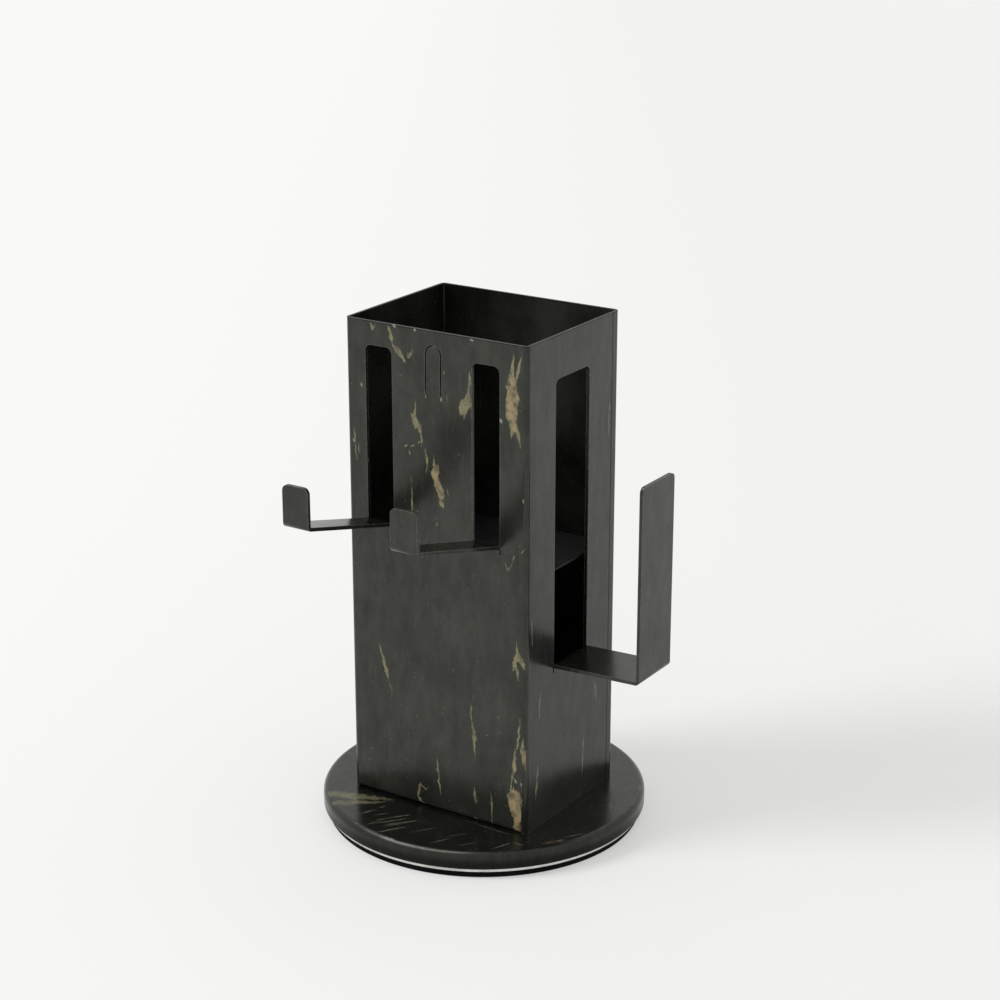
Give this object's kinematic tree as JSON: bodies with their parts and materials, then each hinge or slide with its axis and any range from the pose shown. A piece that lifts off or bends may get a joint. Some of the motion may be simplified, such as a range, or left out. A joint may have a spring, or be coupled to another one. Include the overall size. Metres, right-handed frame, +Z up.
{
  "type": "rotating desk organizer",
  "caption": "Upright folded-steel desk organizer on a ball-bearing turntable, with an open-top well, two lanced front hooks and a side cradle",
  "frame": {"origin": "centre of the foot pad's underside, on the turntable's axis", "axes": "+Z up along the turntable's axis and the column; -Y towards the front wall with the two hooks; +X towards the cradle wall"},
  "size_m": [0.1476, 0.1552, 0.2122],
  "materials": {
    "marbled_paint": "satin black with olive-gold marble veins",
    "inner_paint": "matte black",
    "plate_steel": "bright rolled",
    "bearing_steel": "pressed, lightly oiled",
    "ball_chrome": "polished",
    "fastener_steel": "zinc plated",
    "nylon": "natural, moulded",
    "foot_rubber": "matte"
  },
  "bodies": {
    "foot": {"foot_pad": "foot_rubber", "base_plate": "plate_steel", "lower_race": "bearing_steel", "pivot_stud": "fastener_steel", "pivot_washer": "fastener_steel", "pivot_nut": "fastener_steel"},
    "cage": {"ball_cage": "nylon", "bearing_balls": "ball_chrome"},
    "turret": {"upper_race": "bearing_steel", "base_cap": "marbled_paint", "pivot_bush": "nylon", "column_wrap": "marbled_paint", "column_back": "marbled_paint", "inner_floor": "inner_paint", "column_screws": "fastener_steel", "column_washers": "fastener_steel", "clinch_nuts": "fastener_steel"}
  },
  "joints": [
    {"name": "turntable_spin", "type": "hinge", "parent": "foot", "child": "turret", "pos_m": [0, 0, 0.006], "axis": [0, 0, 1], "continuous": true},
    {"name": "cage_orbit", "type": "hinge", "parent": "foot", "child": "cage", "pos_m": [0, 0, 0.006], "axis": [0, 0, 1], "continuous": true}
  ],
  "couplings": [
    {"joint": "cage_orbit", "follows": "turntable_spin", "ratio": 0.5}
  ]
}
